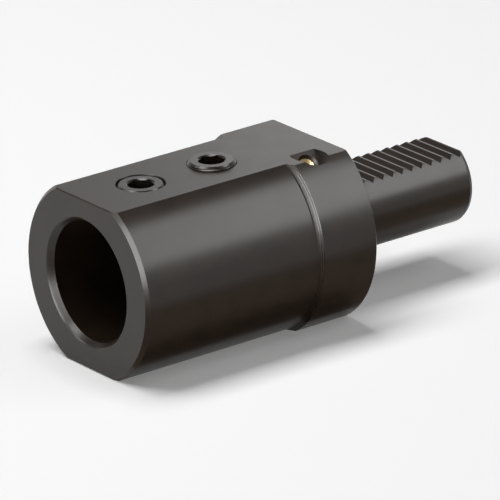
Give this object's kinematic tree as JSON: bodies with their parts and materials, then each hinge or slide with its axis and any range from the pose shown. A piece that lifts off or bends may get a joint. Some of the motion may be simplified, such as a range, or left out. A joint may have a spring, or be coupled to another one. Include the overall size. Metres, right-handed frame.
{
  "type": "vdi tool holder",
  "caption": "Round steel tool holder: serrated shank, wide collar and a bored nose whose set screws clamp a round tool, with a brass coolant nozzle in the collar's edge.",
  "frame": {"origin": "on the axis of the shank and tool bore, in the plane of the locating face behind the collar", "axes": "+X along the shank, away from the nose; +Z out of the top flat with the clamp screws, the side the serration is on; +Y towards the side without the coolant nozzle"},
  "size_m": [0.145, 0.068, 0.0584],
  "materials": {
    "black_oxide_steel": "black oxide, satin",
    "screw_steel": "black oxide, satin",
    "nozzle_brass": "turned, bright",
    "ring_steel": "turned, dull",
    "seal_rubber": "matte black"
  },
  "bodies": {
    "holder": {"holder_body": "black_oxide_steel", "nozzle_ring": "ring_steel", "shank_seal": "seal_rubber"},
    "front_screw": {"front_clamp_screw": "screw_steel"},
    "rear_screw": {"rear_clamp_screw": "screw_steel"},
    "ball": {"nozzle_ball": "nozzle_brass"}
  },
  "joints": [
    {"name": "front_screw_travel", "type": "slide", "parent": "holder", "child": "front_screw", "axis": [0, 0, 1], "range_m": [-0.003, 0.002]},
    {"name": "rear_screw_travel", "type": "slide", "parent": "holder", "child": "rear_screw", "axis": [0, 0, 1], "range_m": [-0.004, 0.001]},
    {"name": "nozzle_swivel", "type": "hinge", "parent": "holder", "child": "ball", "pos_m": [-0.0121, -0.01276, 0.02271], "axis": [0, 0.749, 0.6626], "range_deg": [-20, 20]}
  ]
}
